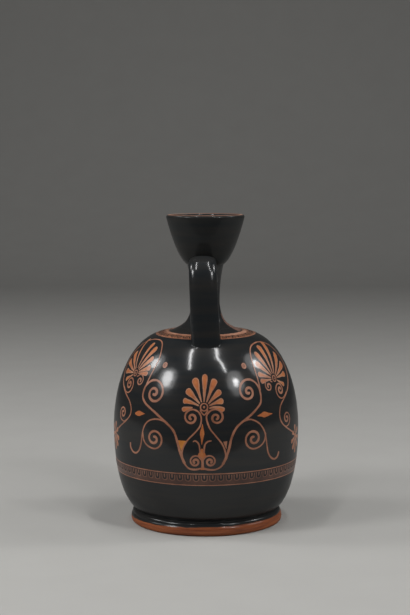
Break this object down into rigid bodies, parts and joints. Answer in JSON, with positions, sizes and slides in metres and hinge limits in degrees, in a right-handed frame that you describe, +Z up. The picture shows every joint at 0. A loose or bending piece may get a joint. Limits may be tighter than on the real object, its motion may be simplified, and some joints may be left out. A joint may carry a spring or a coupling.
{
  "type": "squat lekythos",
  "caption": "Squat oil bottle in black-gloss pottery: round body on a ring foot, narrow neck, bell mouth and a strap handle from neck to shoulder.",
  "frame": {"origin": "centre of the ring that the foot rests on, on the surface the vessel stands on", "axes": "+Z up along the axis of the wheel, handle on the -Y side, +X to the right of a viewer who faces the handle"},
  "size_m": [0.1206, 0.1206, 0.2],
  "materials": {
    "black_gloss": "satin black sintered slip over red clay",
    "reserved_clay": "burnished orange clay left bare of the black",
    "luting_slip": "matt fired clay film between the parts"
  },
  "bodies": {
    "root": {"foot": "reserved_clay", "body": "black_gloss", "neck": "black_gloss", "mouth": "black_gloss", "handle": "black_gloss", "foot_luting_slip": "luting_slip", "neck_luting_slip": "luting_slip", "mouth_luting_slip": "luting_slip", "handle_top_luting_slip": "luting_slip", "handle_root_luting_slip": "luting_slip"}
  },
  "joints": []
}
